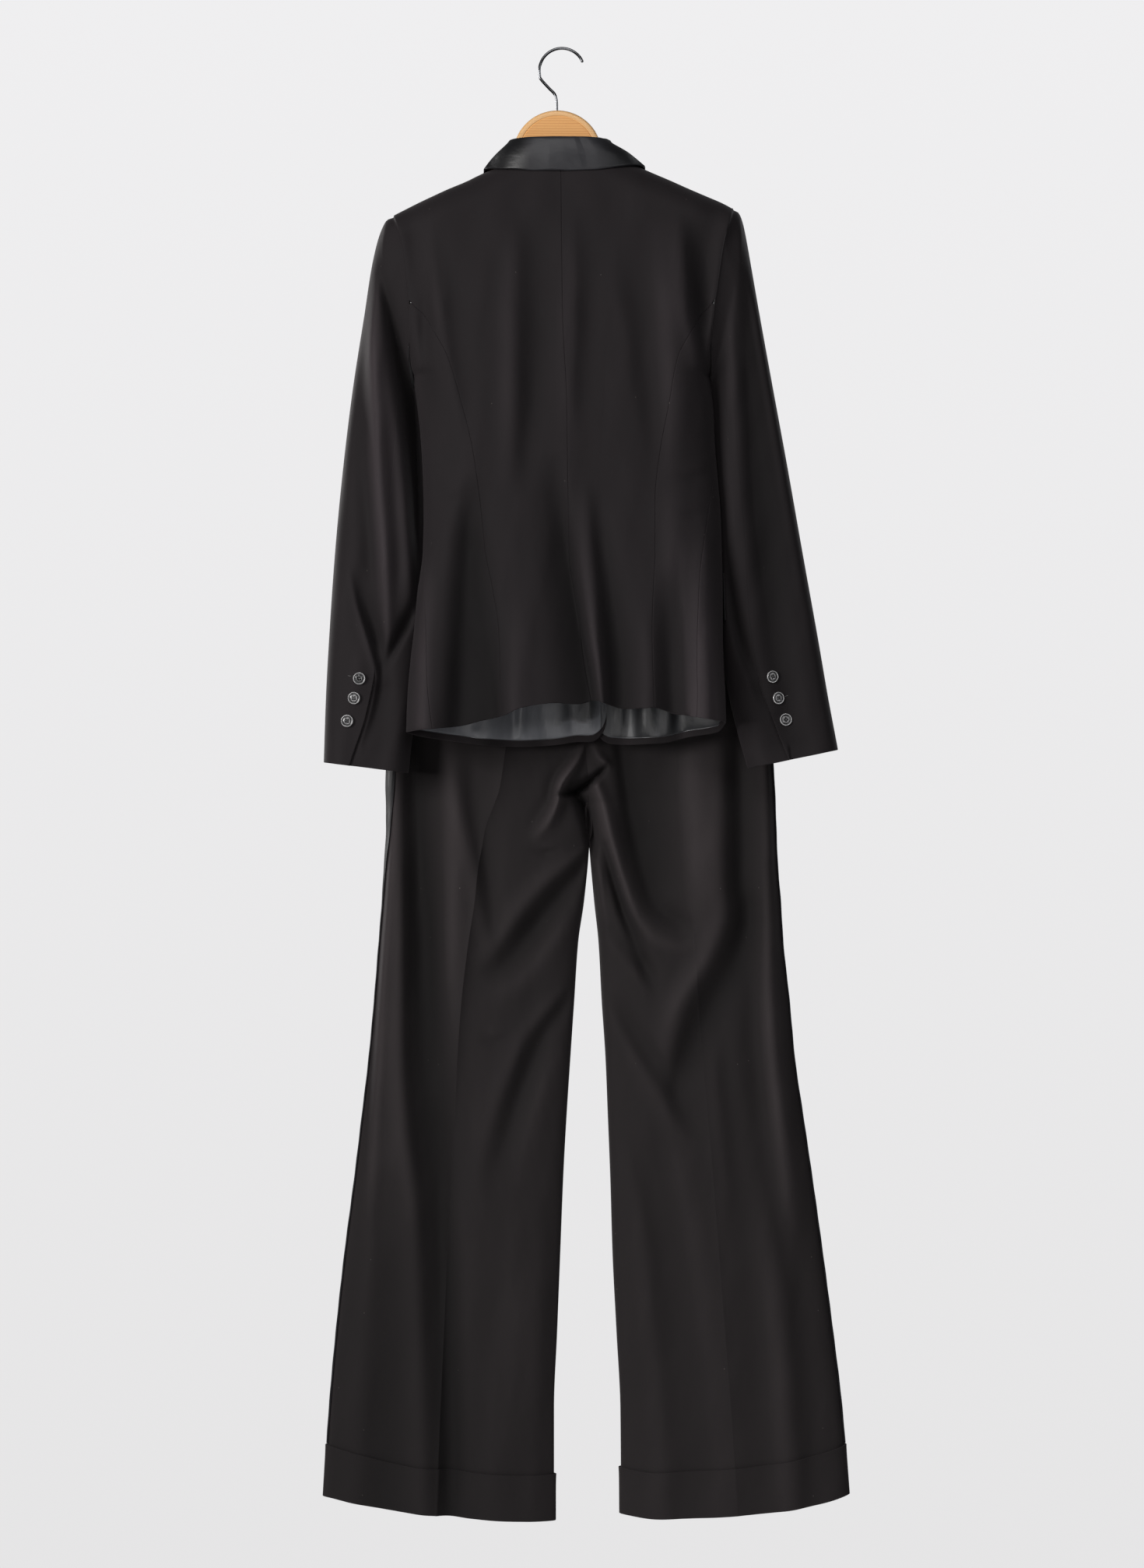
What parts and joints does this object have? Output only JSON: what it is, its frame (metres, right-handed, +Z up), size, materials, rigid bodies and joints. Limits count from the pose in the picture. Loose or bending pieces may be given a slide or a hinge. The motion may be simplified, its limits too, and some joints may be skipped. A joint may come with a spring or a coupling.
{
  "type": "trouser suit on a hanger",
  "caption": "Woman's black dinner suit on a wooden hanger: fitted jacket with satin collar and lapels, open sleeves with buttoned cuffs, wide-legged trousers with turn-ups.",
  "frame": {"origin": "inner crown of the hook, where it rests on the rail", "axes": "+Z up, the garment's back faces +Y, its front faces -Y, the wearer's left is +X"},
  "size_m": [0.6168, 0.177, 1.7033],
  "materials": {
    "suiting": "fine black wool twill, matt",
    "satin": "black satin",
    "lining": "dark grey satin lining",
    "buttons": "polished black horn",
    "wood": "clear lacquered beech",
    "chrome": "polished"
  },
  "bodies": {
    "root": {"jacket_back_left": "suiting", "jacket_back_right": "suiting", "jacket_side_back_left": "suiting", "jacket_side_back_right": "suiting", "jacket_front_left": "suiting", "jacket_front_right": "suiting", "top_sleeve_left": "suiting", "top_sleeve_right": "suiting", "under_sleeve_left": "suiting", "under_sleeve_right": "suiting", "pocket_flap_left": "suiting", "pocket_flap_right": "suiting", "trouser_back_left": "suiting", "trouser_back_right": "suiting", "trouser_front_left": "suiting", "trouser_front_right": "suiting", "waistband": "suiting", "turn_up_left": "suiting", "turn_up_right": "suiting", "collar": "satin", "lapel_left": "satin", "lapel_right": "satin", "side_stripe_left": "satin", "side_stripe_right": "satin", "front_lining_left": "lining", "front_lining_right": "lining", "cuff_button_left_1": "buttons", "cuff_button_left_2": "buttons", "cuff_button_left_3": "buttons", "cuff_button_right_1": "buttons", "cuff_button_right_2": "buttons", "cuff_button_right_3": "buttons", "front_button": "buttons", "waistband_button": "buttons", "wooden_hanger": "wood", "chrome_hook": "chrome", "drop_wire": "chrome", "clip_bar": "chrome", "trouser_clip_left": "chrome", "trouser_clip_right": "chrome"}
  },
  "joints": []
}
